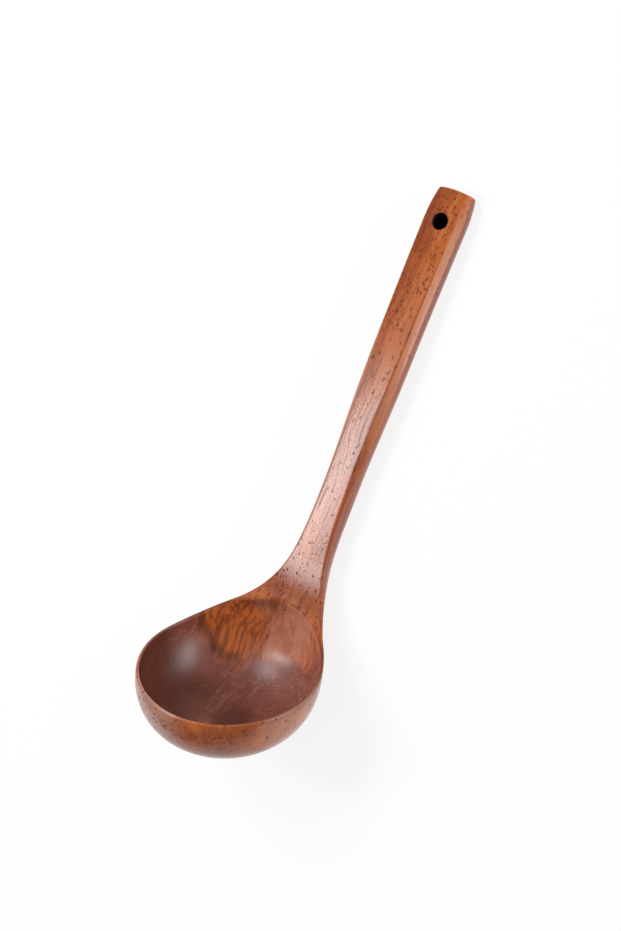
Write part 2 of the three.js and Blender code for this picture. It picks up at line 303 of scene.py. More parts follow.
def share(name, description, value):
    """A share of a whole that a user can change"""
    return FloatProperty(name=name, description=description, default=value, min=0.0, max=1.0,
                         subtype='FACTOR')


def number(name, description, value):
    """A plain number that a user can change"""
    return FloatProperty(name=name, description=description, default=value, min=0.0)


def power(name, description, watts):
    """The power of a light that a user can change"""
    return FloatProperty(name=name, description=description, default=watts, min=0.0, unit='POWER')


def colour(name, description, red, green, blue):
    """A colour that a user can change, in linear light"""
    return FloatVectorProperty(name=name, description=description, default=(red, green, blue),
                               min=0.0, max=1.0, subtype='COLOR')


class LadleBowlSizes(bpy.types.PropertyGroup):
    """Sizes of the bowl, with the rim level"""
    rim_radius: size("Rim radius", "Outside radius of the rim", 42.5)
    depth: size("Depth", "From the rim down to the lowest point outside", 35.2)
    rim_wall: size("Rim wall", "Thickness of the wall at the rim", 1.6)
    floor_wall: size("Floor wall", "Thickness of the wall at the bottom", 5.0)
    rim_round: size("Rim rounding", "Radius of the rim's outer edge", 0.7)
    lip_round: size("Lip rounding", "Radius of the rim's inner edge", 0.8)
    belly: size("Belly", "Swelling of the outside half-way down", 1.5)
    hollow_rise: size("Hollow rise", "Height at which the hollow's sides would meet", 45.0)
    front_dip: size("Front dip", "How far the rim falls towards its front", 1.9)
    bottom_forward: size("Bottom forward", "How far the lowest point lies to the front", 4.2)
    fullness: number("Fullness", "2 is an ellipse, more is squarer", 2.2)


class LadleHandleSizes(bpy.types.PropertyGroup):
    """Sizes of the shoulder, neck and handle along the ladle's top line"""
    sweep_from_rear: size("Sweep from rear", "Where the rim starts to rise", 37.5)
    sweep_radius: size("Sweep radius", "Radius of the top line's rise", 51.1)
    sweep_ease: size("Sweep ease", "Length on each side of the sweep's end that is eased", 12.0)
    slope: angle("Slope", "Slope of the handle above the rim", 61.5)
    bend: angle("Bend", "How much the handle leans back by its tip", 5.0)
    length: size("Length", "From the end of the sweep to the tip", 189.8)
    shoulder_from_rear: size("Shoulder from rear", "Where its edges leave the rim", 10.7)
    shoulder_thickness: size("Shoulder thickness", "Thickness where it leaves the rim", 15.5)
    shoulder_ease: number("Shoulder ease", "How slowly its edges reach the neck", 3.0)
    shoulder_tuck: number("Shoulder tuck", "How soon its underside thins", 5.0)
    neck_width: size("Neck width", "Width of the neck", 17.0)
    grip_width: size("Grip width", "Width of the handle at its widest", 21.8)
    grip_from_tip: size("Grip from tip", "Where the handle is widest", 84.0)
    tip_width: size("Tip width", "Width of the handle's end", 22.8)
    thickness: size("Thickness", "Thickness of the handle", 9.2)
    edge_run: size("Edge run", "Width of the rounding of the handle's edges", 3.6)
    neck_edge: size("Neck edge", "Width of the rounding of the neck's edges", 1.6)
    top_crown: size("Top crown", "How far the middle of the handle's top stands above its edges", 0.45)
    end_round: size("End rounding", "Setback of the end's upper and lower edges", 0.8)
    tip_taper: size("Tip taper", "How much narrower each side is at the very end", 2.0)
    tip_run: size("Tip run", "Length over which the tip narrows", 15.0)
    tip_crown: size("Tip crown", "How far the middle of the end stands out", 0.6)
    hole_diameter: size("Hole diameter", "Bore of the hanging hole", 7.5)
    hole_from_tip: size("Hole from tip", "Centre of the hanging hole", 16.0)
    hole_round: size("Hole rounding", "Radius of the hole's mouths", 0.35)


class LadleJointSizes(bpy.types.PropertyGroup):
    """Sizes of the doweled joint at the neck"""
    from_sweep: size("Joint from sweep", "Place of the joint past the sweep", 12.8)
    dowel_diameter: size("Dowel diameter", "Diameter of a dowel", 4.0)
    dowel_length: size("Dowel length", "Length of a dowel", 24.0)
    dowel_spacing: size("Dowel spacing", "Between the two dowels' axes", 7.5)
    dowel_chamfer: size("Dowel chamfer", "Chamfer of a dowel's ends", 0.5)
    flute_depth: size("Flute depth", "Depth of the glue flutes in a dowel", 0.22)
    clearance: size("Bore clearance", "Room for glue round a dowel", 0.3)


class LadleFinish(bpy.types.PropertyGroup):
    """Colours and gloss of the lacquered wood"""
    pale_wood: colour("Pale wood", "Light bands of the wood", 0.500, 0.140, 0.030)
    red_wood: colour("Red wood", "Middle tone of the wood", 0.370, 0.078, 0.014)
    dark_wood: colour("Dark wood", "Dark bands of the wood", 0.200, 0.038, 0.009)
    amber_wood: colour("Amber wood", "Flamed wood at the rear of the hollow", 0.500, 0.115, 0.018)
    tan_wood: colour("Tan wood", "Pale wood at the rear and right of the hollow", 0.500, 0.205, 0.140)
    heart_wood: colour("Heartwood", "Purple-brown heartwood in the hollow", 0.165, 0.045, 0.033)
    # Painted shade on the handle's sides, which turn away from the light
    painted_side_shade_wood: colour("Edge wood", "Stained wood of the handle's sides", 0.230, 0.080, 0.064)
    # Painted reflection along the handle's right edge and painted light on its left edge
    painted_edge_light_wood: colour("Worn wood", "Paler wood along the handle's worn edges", 0.530, 0.245, 0.160)
    outer_wood: colour("Outer wood", "Dull wood of the bowl's outside", 0.135, 0.048, 0.034)
    # Painted light on the bowl's front left and a painted reflection of the floor low on its right
    outside_light_wood: colour("Smoked wood", "Grey wood at the left of the bowl's front", 0.380, 0.195, 0.145)
    fleck: colour("Flecks", "Short dark flecks in the wood", 0.075, 0.018, 0.009)
    streak: colour("Streaks", "Long grey-brown streaks of the handle", 0.220, 0.090, 0.062)
    dowel: colour("Dowel", "Bare dowel wood", 0.57, 0.32, 0.15)
    roughness: share("Wood roughness", "Roughness under the lacquer", 0.5)
    wood_gloss: share("Wood gloss", "Reflection of the wood under the lacquer", 0.08)
    coat: share("Lacquer", "Weight of the lacquer", 0.8)
    coat_roughness: share("Lacquer roughness", "Roughness of the lacquer", 0.19)
    hollow_roughness: share("Hollow roughness", "Roughness of the lacquer in the hollow", 0.34)
    grain_depth: size("Grain depth", "Depth of the pores under the lacquer", 0.15)


class LadleStudio(bpy.types.PropertyGroup):
    """Camera and lights, with the camera placed about the level rim"""
    bearing: angle("Camera bearing", "Round the rim, from the front towards the right", 38.54)
    elevation: angle("Camera elevation", "Above the level of the rim", 30.52)
    roll: angle("Camera roll", "Turn of the picture", 2.52)
    distance: size("Camera distance", "From the rim to the camera", 900.0)
    aside: shift("Camera aside", "Picture's middle to the right of the rim", 36.70)
    above: shift("Camera above", "Picture's middle above the rim", 91.17)
    focal_pixels: number("Focal length", "In pixels of the picture", 1982.0)
    key_power: power("Key light", "Power of the softbox over the ladle's left", 4.3)
    side_power: power("Side light", "Power of the softbox at the ladle's right", 7.2)
    rear_power: power("Rear light", "Power of the softbox over the handle", 3.4)
    sky: number("Sky", "Strength of the light from all round", 0.43)
    sky_gloss: number("Sky in the gloss", "Strength of the surroundings in reflections", 0.15)
    floor: colour("Floor", "Colour of the floor", 0.9, 0.9, 0.9)


class Carving:
    """Shape of the ladle as it is carved: the rim level round zero, +X towards the handle"""

    def __init__(self, scene):
        self.bowl = scene.ladle_bowl
        self.handle = scene.ladle_handle
        self.joint = scene.ladle_joint
        bowl, handle = self.bowl, self.handle
        self.lean = bowl.bottom_forward / bowl.depth
        self.sweep_start = bowl.rim_radius - handle.sweep_from_rear
        self.sweep_end = handle.sweep_radius * handle.slope
        self.top_length = self.sweep_end + handle.length
        self.hole_along = self.top_length - handle.hole_from_tip
        self.joint_along = self.sweep_end + self.joint.from_sweep
        start = bowl.rim_radius - handle.shoulder_from_rear
        turn = math.asin((start - self.sweep_start) / handle.sweep_radius)
        self.shoulder_along = handle.sweep_radius * turn
        self.shoulder_half = math.sqrt(bowl.rim_radius ** 2 - start ** 2)
        self.shoulder_turn = math.asin(self.shoulder_half / bowl.rim_radius)
        taper = start / self.shoulder_half * math.cos(turn)
        narrowing = self.shoulder_half - handle.neck_width / 2
        self.neck_along = self.shoulder_along + handle.shoulder_ease * narrowing / taper
        self.top_line = [Vector((self.sweep_start, 0.0, 0.0))]
        while (len(self.top_line) - 1) * LINE_STEP <= self.top_length:
            middle = (len(self.top_line) - 0.5) * LINE_STEP
            self.top_line.append(self.top_line[-1] + self.forward(middle) * LINE_STEP)

    def top_height(self, x):
        """Height of the top line above the level rim"""
        reach = max(0.0, x - self.sweep_start)
        radius = self.handle.sweep_radius
        ahead = max(0.0, (self.sweep_start - x) / (self.sweep_start + self.bowl.rim_radius))
        return radius - math.sqrt(radius ** 2 - reach ** 2) - self.bowl.front_dip * ahead ** 2

    def top_slope(self, along):
        """Slope of the top line at a distance along it, eased where the sweep ends"""
        handle = self.handle
        rising = along / handle.sweep_radius
        leaning = handle.slope - handle.bend * (along - self.sweep_end) / handle.length
        easing = handle.sweep_ease * (1 / handle.sweep_radius + handle.bend / handle.length)
        near = max(0.0, 1 - abs(rising - leaning) / easing)
        return min(rising, leaning) - easing * near ** 2 / 4

    def top_point(self, along):
        """Point of the top line at a distance along it"""
        whole = int(along / LINE_STEP)
        return self.top_line[whole].lerp(self.top_line[whole + 1], along / LINE_STEP - whole)

    def forward(self, along):
        """Way up the top line"""
        slope = self.top_slope(along)
        return Vector((math.cos(slope), 0.0, math.sin(slope)))

    def out(self, along):
        """Way out of the ladle, square to the top line"""
        slope = self.top_slope(along)
        return Vector((-math.sin(slope), 0.0, math.cos(slope)))

    def shoulder_share(self, along):
        """1 where the shoulder leaves the rim, 0 from the neck on"""
        left = (self.neck_along - along) / (self.neck_along - self.shoulder_along)
        return min(1.0, max(0.0, left))

    def half_width(self, along):
        """Half of the width, which narrows to the neck, widens to the grip and tapers at the tip"""
        handle = self.handle
        if along < self.neck_along:
            neck_half = handle.neck_width / 2
            wider = (self.shoulder_half - neck_half) * self.shoulder_share(along) ** handle.shoulder_ease
            return neck_half + wider
        grip_along = self.top_length - handle.grip_from_tip
        to_grip = smooth_step((along - self.neck_along) / (grip_along - self.neck_along))
        to_tip = smooth_step((along - grip_along) / handle.grip_from_tip)
        wider = (handle.grip_width - handle.neck_width) * to_grip
        narrower = (handle.grip_width - handle.tip_width) * to_tip
        past = max(0.0, 1 - (self.top_length - along) / handle.tip_run)
        return (handle.neck_width + wider - narrower) / 2 - handle.tip_taper * past ** 2

    def thickness(self, along):
        """Thickness, which falls from the shoulder to the neck"""
        handle = self.handle
        swell = handle.shoulder_thickness - handle.thickness
        return handle.thickness + swell * self.shoulder_share(along) ** handle.shoulder_tuck

    def edge_run(self, along):
        """Width of the edges' rounding, which grows from the neck to the grip"""
        to_grip = self.top_length - self.handle.grip_from_tip - self.neck_along
        left = min(1.0, max(0.0, 1 - (along - self.neck_along) / to_grip))
        return blend(self.handle.edge_run, self.handle.neck_edge, left ** 2)

    def section_point(self, along, aside, level):
        """Point of a cross-section: aside from -1 to 1, level counted down from its top"""
        half = self.half_width(along)
        deep = self.thickness(along)
        by_rim = self.shoulder_share(along)
        inset, share_down = SIDE_ROWS[level]
        across = half - inset * self.edge_run(along)
        down = share_down * deep
        rim_rows = len(SIDE_ROWS) - len(SHOULDER_TURNS)
        if level < rim_rows:
            inset, drop = RIM_ROWS[level]
            root_across = half - inset * self.bowl.rim_round
            root_down = drop * self.bowl.rim_round
        else:
            turn = math.radians(SHOULDER_TURNS[level - rim_rows])
            root_across = half * math.cos(turn)
            root_down = deep * math.sin(turn)
            if level == SHOULDER_LEVELS:
                root_down = deep * math.sqrt(1 - (aside * math.cos(turn)) ** 2)
        across = blend(across, root_across, by_rim)
        down = blend(down, root_down, by_rim)
        if level < rim_rows:
            down += self.crown_fall(along, aside * across)
        centre = self.top_point(along) - self.out(along) * down
        return centre + Vector((0.0, aside * across, 0.0))

    def crown_fall(self, along, beside):
        """How far the crowned top has fallen at a place beside its middle"""
        crown = self.handle.top_crown * (1 - self.shoulder_share(along))
        return crown * (beside / self.half_width(along)) ** 2

    def lying(self):
        """Turn and move that lay the carved ladle down where the dowels of the frame are"""
        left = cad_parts["neck_dowel_left"]
        places = sorted((vertex.co for vertex in left.data.vertices), key=lambda place: place.x)
        half = len(places) // 2
        run = sum(places[-half:], Vector()) / half - sum(places[:half], Vector()) / half
        tip = self.top_slope(self.joint_along) - math.atan2(run.z, run.x)
        turn = Matrix.Rotation(tip, 4, 'Y')
        corners = [*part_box("neck_dowel_left"), *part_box("neck_dowel_right")]
        middle = sum((Vector(corner) for corner in corners), Vector()) / len(corners)
        return Matrix.Translation(middle - turn @ self.dowel_middle()) @ turn

    def dowel_middle(self):
        """Place half-way between the two dowels' middles"""
        down = self.thickness(self.joint_along) / 2
        return self.top_point(self.joint_along) - self.out(self.joint_along) * down


def smooth_step(value):
    """0 up to zero, 1 from one on, with an eased rise between"""
    value = min(1.0, max(0.0, value))
    return value * value * (3 - 2 * value)


def blend(start, end, portion):
    """Value on the way from a start to an end"""
    return start + (end - start) * portion


# Skin of the whole ladle, carved as one

def wall_profile(carving):
    """Half outline of the bowl's wall, up its outside, over the rim and down into the hollow"""
    bowl = carving.bowl
    edge, lip = bowl.rim_round, bowl.lip_round
    inner_radius = bowl.rim_radius - bowl.rim_wall
    outside = []
    inside = []
    for degrees, gather in WALL_ROWS:
        turn = math.radians(degrees)
        across = math.sin(turn) ** (2 / bowl.fullness)
        down = math.cos(turn) ** (2 / bowl.fullness)
        swell = bowl.belly * math.sin(2 * turn)
        outside.append((bowl.rim_radius * across + swell, -bowl.depth * down, gather))
        inside.insert(0, (inner_radius * across, -(bowl.depth - bowl.floor_wall) * down, 0.0))
    rim = [
        (bowl.rim_radius, -edge, RIM_GATHER),
        (bowl.rim_radius - edge * SQUARE, -edge * SQUARE, 0.0),
        (bowl.rim_radius - bowl.rim_wall / 2, 0.0, 0.0),
        (inner_radius + lip * SQUARE, -lip * SQUARE, 0.0),
        (inner_radius, -lip, 0.0),
    ]
    return outside + rim + inside


def column_turn(carving, column, gather):
    """Angle of a column round the bowl, drawn in under the shoulder"""
    window = carving.shoulder_turn
    side = math.copysign(1.0, column)
    reach = abs(column)
    if reach <= WINDOW_COLUMNS:
        return window * column / WINDOW_COLUMNS * (1 - gather)
    beyond = (reach - WINDOW_COLUMNS) / (WALL_COLUMNS / 2)
    turn = window + (math.pi - window) * beyond
    return side * (turn - window * gather * (1 - smooth_step(beyond / GATHER_FADE)))


def wall_point(carving, radius, height, turn, inside):
    """Point of the bowl's wall, leaning forward below and drawn up to the top line at the rear"""
    bowl = carving.bowl
    root_turn = math.radians(WALL_ROWS[SHOULDER_ROW][0])
    root = -bowl.depth * math.cos(root_turn) ** (2 / bowl.fullness)
    lifted = max(0.0, (height - root) / -root)
    x, z = radius * math.cos(turn), height
    wide = 1.0
    for _ in range(LIFT_ROUNDS):
        z = height + lifted * carving.top_height(x)
        if inside and z > 0:
            wide = math.sqrt(1 - (z / bowl.hollow_rise) ** 2)
        x = radius * wide * math.cos(turn) + carving.lean * z
    return Vector((x, radius * wide * math.sin(turn), z))


def bowl_skin(carving):
    """Closed skin of the bowl, spun from its wall's outline, with row and column numbers kept"""
    profile = wall_profile(carving)
    bm = bmesh.new()
    row_of = bm.verts.layers.int.new("row")
    column_of = bm.verts.layers.int.new("column")
    line = []
    for row, (radius, height, _) in enumerate(profile):
        corner = bm.verts.new((radius, 0.0, height))
        corner[row_of] = row
        line.append(corner)
    edges = [bm.edges.new(pair) for pair in zip(line, line[1:])]
    columns = 2 * WINDOW_COLUMNS + WALL_COLUMNS
    bmesh.ops.spin(bm, geom=line + edges, cent=(0, 0, 0), axis=(0, 0, 1), dvec=(0, 0, 0),
                   angle=2 * math.pi, steps=columns, use_merge=True)
    bmesh.ops.remove_doubles(bm, verts=bm.verts, dist=MERGE_REACH)
    for vertex in bm.verts:
        turn = math.atan2(vertex.co.y, vertex.co.x)
        column = round(turn / (2 * math.pi) * columns)
        vertex[column_of] = column
        row = vertex[row_of]
        radius, height, gather = profile[row]
        turn = column_turn(carving, column, gather)
        vertex.co = wall_point(carving, radius, height, turn, row > CROWN_ROW)
    for face in bm.faces:
        face.material_index = int(all(corner[row_of] > CROWN_ROW for corner in face.verts))
    bmesh.ops.recalc_face_normals(bm, faces=bm.faces)
    return bm


def shoulder_window(bm, row_of, column_of):
    """Faces at the rear of the bowl's outside that the shoulder is drawn out of"""
    def in_window(corner):
        return SHOULDER_ROW <= corner[row_of] <= CROWN_ROW and abs(corner[column_of]) <= WINDOW_COLUMNS

    return [face for face in bm.faces if all(in_window(corner) for corner in face.verts)]


def handle_rings(carving):
    """Distances along the top line of the handle's rings, from the end of the shoulder on"""
    radius = carving.handle.hole_diameter / 2
    by_hole = [carving.hole_along + radius * away for away in HOLE_RINGS]
    run = by_hole[0] - SHOULDER_END
    return [SHOULDER_END + run * step / HANDLE_RINGS for step in range(HANDLE_RINGS)] + by_hole


def shoulder_root(carving, column, level):
    """Distance along the top line, and place aside, from which a column of the shoulder starts"""
    bowl = carving.bowl
    aside = column / WINDOW_COLUMNS
    turn = column_turn(carving, column, 0.0)
    crown = wall_point(carving, bowl.rim_radius - bowl.rim_wall / 2, 0.0, turn, False)
    radius = carving.handle.sweep_radius
    crown_along = radius * math.asin((crown.x - carving.sweep_start) / radius)
    crown_aside = crown.y / (carving.half_width(crown_along) - bowl.rim_round)
    lower = level / SHOULDER_LEVELS
    along = crown_along + (carving.shoulder_along - crown_along) * lower
    return along, crown_aside + (aside - crown_aside) * lower


def draw_out(bm, patch):
    """Extrudes a patch of faces and gives back the moved patch and its corners"""
    made = bmesh.ops.extrude_face_region(bm, geom=patch)["geom"]
    bmesh.ops.delete(bm, geom=patch, context='FACES')
    faces = [item for item in made if isinstance(item, bmesh.types.BMFace)]
    corners = [item for item in made if isinstance(item, bmesh.types.BMVert)]
    return faces, corners


def draw_handle(bm, carving, row_of, column_of, ring_of):
    """Draws the shoulder and the handle out of the bowl's rear, up to the rounded tip"""
    handle = carving.handle
    patch = shoulder_window(bm, row_of, column_of)
    for done in SHOULDER_RINGS:
        patch, corners = draw_out(bm, patch)
        for corner in corners:
            level = CROWN_ROW - corner[row_of]
            along, aside = shoulder_root(carving, corner[column_of], level)
            along += (SHOULDER_END - along) * done
            aside += (corner[column_of] / WINDOW_COLUMNS - aside) * done
            corner.co = carving.section_point(along, aside, level)
    for ring, along in enumerate(handle_rings(carving), start=1):
        patch, corners = draw_out(bm, patch)
        for corner in corners:
            corner[ring_of] = ring
            aside = corner[column_of] / WINDOW_COLUMNS
            corner.co = carving.section_point(along, aside, CROWN_ROW - corner[row_of])
    for before_end in TIP_RINGS:
        patch, corners = draw_out(bm, patch)
        for corner in corners:
            corner[ring_of] = 0
            level = CROWN_ROW - corner[row_of]
            aside = corner[column_of] / WINDOW_COLUMNS
            back = before_end + handle.tip_crown * aside ** 2
            if not before_end:
                back += handle.end_round * END_SETBACKS[level] + TIP_CORNER_CUT * (abs(aside) == 1)
            corner.co = carving.section_point(carving.top_length - back, aside, level)


def bore_mouth(bm, carving, corners_wanted, side):
    """Cuts a round mouth into a face of the handle and gives back the loop at its throat"""
    handle = carving.handle
    along = carving.hole_along
    forward, out = carving.forward(along), carving.out(along)
    face_middle = carving.top_point(along)
    if side < 0:
        face_middle = face_middle - out * handle.thickness
    faces = [face for face in bm.faces if all(corners_wanted(corner) for corner in face.verts)]
    loop = [edge for face in faces for edge in face.edges
            if sum(neighbour in faces for neighbour in edge.link_faces) == 1]
    bmesh.ops.delete(bm, geom=faces, context='FACES')
    corners = list({corner for edge in loop for corner in edge.verts})

    def bearing(corner):
        away = corner.co - face_middle
        return math.atan2(away.y, away.dot(forward))

    corners.sort(key=bearing)
    first = min(range(len(corners)), key=lambda index: abs(bearing(corners[index])))
    corners = corners[first:] + corners[:first]
    step = 2 * math.pi / len(corners)
    shrink = (2 + math.cos(step)) / 3       # of a ring of corners when it is subdivided
    radius = handle.hole_diameter / 2 / shrink
    edge_round = handle.hole_round
    turns = [step * index for index in range(len(corners))]

    def set_round(ring, wide, sunk):
        for corner, turn in zip(ring, turns):
            spoke = forward * math.cos(turn) + Vector((0.0, math.sin(turn), 0.0))
            fall = carving.crown_fall(along, wide * math.sin(turn)) if side > 0 else 0.0
            corner.co = face_middle + spoke * wide - out * (side * sunk + fall)

    set_round(corners, radius + edge_round, 0.0)
    for wide, sunk in ((radius + edge_round * SQUARE, edge_round * SQUARE), (radius, edge_round)):
        made = bmesh.ops.extrude_edge_only(bm, edges=loop)["geom"]
        loop = [item for item in made if isinstance(item, bmesh.types.BMEdge) and item.is_boundary]
        fresh = [item for item in made if isinstance(item, bmesh.types.BMVert)]
        corners = [min(fresh, key=lambda item: (item.co - corner.co).length) for corner in corners]
        set_round(corners, wide, sunk)
    return loop


def bore_hole(bm, carving, row_of, column_of, ring_of):
    """Bores the hanging hole through the handle"""
    middle = HANDLE_RINGS + HOLE_RINGS.index(0.0) + 1
    rings = (middle - 1, middle, middle + 1)

    def on_face(level):
        def wanted(corner):
            return (CROWN_ROW - corner[row_of] == level and corner[ring_of] in rings
                    and abs(corner[column_of]) <= HOLE_COLUMNS)
        return wanted

    upper = bore_mouth(bm, carving, on_face(0), 1)
    lower = bore_mouth(bm, carving, on_face(SHOULDER_LEVELS), -1)
    bmesh.ops.bridge_loops(bm, edges=upper + lower)


def ladle_skin(carving):
    """Smooth mesh of the whole ladle, laid down in the frame"""
    bm = bowl_skin(carving)
    numbers = bm.verts.layers.int
    ring_of = numbers.new("ring")
    row_of = numbers["row"]
    column_of = numbers["column"]
    draw_handle(bm, carving, row_of, column_of, ring_of)
    bore_hole(bm, carving, row_of, column_of, ring_of)
    bmesh.ops.recalc_face_normals(bm, faces=bm.faces)
    bmesh.ops.transform(bm, matrix=carving.lying(), verts=bm.verts)
    blank = mesh_object("ladle_blank", bm)
    smooth = blank.modifiers.new("Skin", 'SUBSURF')
    smooth.levels = SKIN_LEVELS
    smooth.render_levels = SKIN_LEVELS
    return settled_mesh(blank)


def put_in_order(elements, key):
    """Puts elements of a bmesh in an order that is the same each run, as extruding doesn't"""
    ranks = {element: rank for rank, element in enumerate(sorted(elements, key=key))}
    elements.sort(key=ranks.get)
    elements.index_update()


def corner_numbers(element):
    """Numbers of an edge's or a face's corners, in rising order"""
    return sorted(corner.index for corner in element.verts)


def mesh_object(name, bm):
    """Object of a bmesh whose elements are put in order, linked to the scene"""
    put_in_order(bm.verts, lambda corner: tuple(corner.co))
    put_in_order(bm.edges, corner_numbers)
    put_in_order(bm.faces, corner_numbers)
    mesh = bpy.data.meshes.new(name)
    bm.to_mesh(mesh)
    bm.free()
    return linked_object(name, mesh)


def linked_object(name, data):
    """Object of a mesh, light or camera, linked to the scene"""
    made = bpy.data.objects.new(name, data)
    bpy.context.scene.collection.objects.link(made)
    return made


def settled_mesh(made):
    """Mesh of an object with its modifiers applied, after which the object is gone"""
    depsgraph = bpy.context.evaluated_depsgraph_get()
    mesh = bpy.data.meshes.new_from_object(made.evaluated_get(depsgraph))
    bpy.data.objects.remove(made)
    return mesh


def cut_at_neck(carving, name, keep_bowl):
    """One side of the ladle's skin, cut flat at the neck joint, as an object"""
    bm = bmesh.new()
    bm.from_mesh(ladle_skin(carving))
    lying = carving.lying()
    middle = lying @ carving.top_point(carving.joint_along)
    up_handle = lying.to_3x3() @ carving.forward(carving.joint_along)
    bmesh.ops.bisect_plane(bm, geom=[*bm.verts, *bm.edges, *bm.faces], plane_co=middle,
                           plane_no=up_handle, clear_outer=keep_bowl, clear_inner=not keep_bowl)
    open_edges = [edge for edge in bm.edges if edge.is_boundary]
    bmesh.ops.edgeloop_fill(bm, edges=open_edges)
    bmesh.ops.recalc_face_normals(bm, faces=bm.faces)
    return mesh_object(name, bm)


def dowel_places(carving):
    """Where the two dowels' middles lie, and the turn that points +Z up the handle"""
    lying = carving.lying()
    up_handle = lying.to_3x3() @ carving.forward(carving.joint_along)
    turn = up_handle.to_track_quat('Z', 'Y').to_matrix().to_4x4()
    half = carving.joint.dowel_spacing / 2
    for across in (half, -half):
        middle = lying @ (carving.dowel_middle() + Vector((0.0, across, 0.0)))
        yield Matrix.Translation(middle) @ turn


def with_dowel_bores(piece, carving):
    """Bores the dowels' holes into a piece's joint face"""
    joint = carving.joint
    radius = joint.dowel_diameter / 2 + joint.clearance
    bm = bmesh.new()
    for place in dowel_places(carving):
        bmesh.ops.create_cone(bm, cap_ends=True, segments=BORE_SIDES, radius1=radius, radius2=radius,
                              depth=joint.dowel_length + 2 * joint.clearance, matrix=place)
    cutter = mesh_object("dowel_bores", bm)
    bores = piece.modifiers.new("Dowel bores", 'BOOLEAN')
    bores.operation = 'DIFFERENCE'
    bores.solver = 'EXACT'
    bores.object = cutter
    name = piece.name
    mesh = settled_mesh(piece)
    bpy.data.objects.remove(cutter)
    mesh.name = name
    return linked_object(name, mesh)


def fluted_dowel(name, joint, place):
    """Dowel with straight glue flutes and chamfered ends"""
    radius = joint.dowel_diameter / 2
    half = joint.dowel_length / 2
    bm = bmesh.new()
    rim = bmesh.ops.create_circle(bm, cap_ends=True, segments=FLUTE_CORNERS * DOWEL_FLUTES,
                                  radius=radius)["verts"]
    for index, corner in enumerate(rim):
        if index % FLUTE_CORNERS >= FLUTE_CORNERS / 2:
            corner.co *= 1 - joint.flute_depth / radius
    narrow = 1 - joint.dowel_chamfer / radius
    bmesh.ops.scale(bm, vec=(narrow, narrow, 1.0), verts=rim)
    bmesh.ops.translate(bm, vec=(0.0, 0.0, -half), verts=rim)
    ends = list(bm.faces)
    chamfer = joint.dowel_chamfer
    for rise, wide in ((chamfer, 1 / narrow), (2 * half - 2 * chamfer, 1.0), (chamfer, narrow)):
        ends, corners = draw_out(bm, ends)
        bmesh.ops.translate(bm, vec=(0.0, 0.0, rise), verts=corners)
        bmesh.ops.scale(bm, vec=(wide, wide, 1.0), verts=corners)
    bmesh.ops.holes_fill(bm, edges=[edge for edge in bm.edges if edge.is_boundary])
    bmesh.ops.recalc_face_normals(bm, faces=bm.faces)
    bmesh.ops.transform(bm, matrix=place, verts=bm.verts)
    return mesh_object(name, bm)


def finish_piece(piece, materials, node):
    """Smooth shading, materials, and the piece's place in the frame"""
    piece.data.shade_smooth()
    piece.data.set_sharp_from_angle(angle=SHARP_ANGLE)
    for material in materials:
        piece.data.materials.append(material)
    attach(piece, "root")
    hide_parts(node)


# Materials

def new_material(name):
    """Empty node material with its Principled shader"""
    material = bpy.data.materials.new(name)
    material.use_nodes = True
    nodes = material.node_tree.nodes
    nodes.clear()
    output = nodes.new("ShaderNodeOutputMaterial")
    shader = nodes.new("ShaderNodeBsdfPrincipled")
    material.node_tree.links.new(shader.outputs["BSDF"], output.inputs["Surface"])
    return material, shader


def opaque(value):
    """Colour with its alpha, or the socket that gives one"""
    return value if isinstance(value, bpy.types.NodeSocket) else (*value, 1.0)


